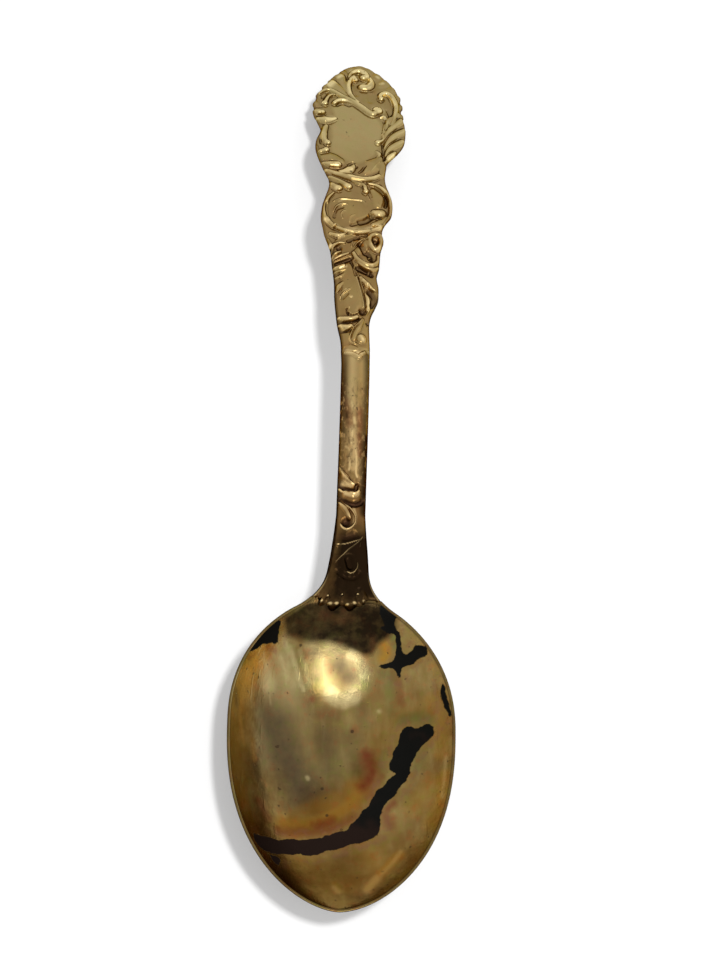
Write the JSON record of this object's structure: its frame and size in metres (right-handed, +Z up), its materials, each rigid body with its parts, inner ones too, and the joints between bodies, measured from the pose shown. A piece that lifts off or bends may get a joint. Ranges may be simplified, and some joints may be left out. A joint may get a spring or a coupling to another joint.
{
  "type": "teaspoon",
  "caption": "Teaspoon with an egg-shaped bowl, a shell-fluted shoulder, a slim stem and an arched handle struck with scrolls, leaves and a bare reserve, in worn gilt metal.",
  "frame": {"origin": "middle of the spoon's length and width, on the surface that it rests on", "axes": "+Y from the bowl to the handle's tip, +Z up out of the open side of the bowl, +X to the right seen from above with the handle pointing away"},
  "size_m": [0.0324, 0.14, 0.0134],
  "materials": {
    "bowl_gilt": "worn gilt, polished by use, with dark tarnish stains",
    "handle_gilt": "worn gilt with brown tarnish in the ground of the ornament",
    "relief_gilt": "worn gilt, bright where the raised ornament is rubbed"
  },
  "bodies": {
    "root": {"bowl": "bowl_gilt", "bowl_heel": "bowl_gilt", "shoulder": "handle_gilt", "shoulder_shell": "relief_gilt", "neck": "handle_gilt", "neck_scrolls": "relief_gilt", "stem": "handle_gilt", "stem_collar": "relief_gilt", "leaf_sheath": "handle_gilt", "sheath_leaves": "relief_gilt", "roundel": "handle_gilt", "roundel_ring": "relief_gilt", "roundel_shell": "relief_gilt", "terminal": "handle_gilt", "terminal_scrolls": "relief_gilt", "terminal_edge": "relief_gilt", "reserve_panel": "relief_gilt"}
  },
  "joints": []
}
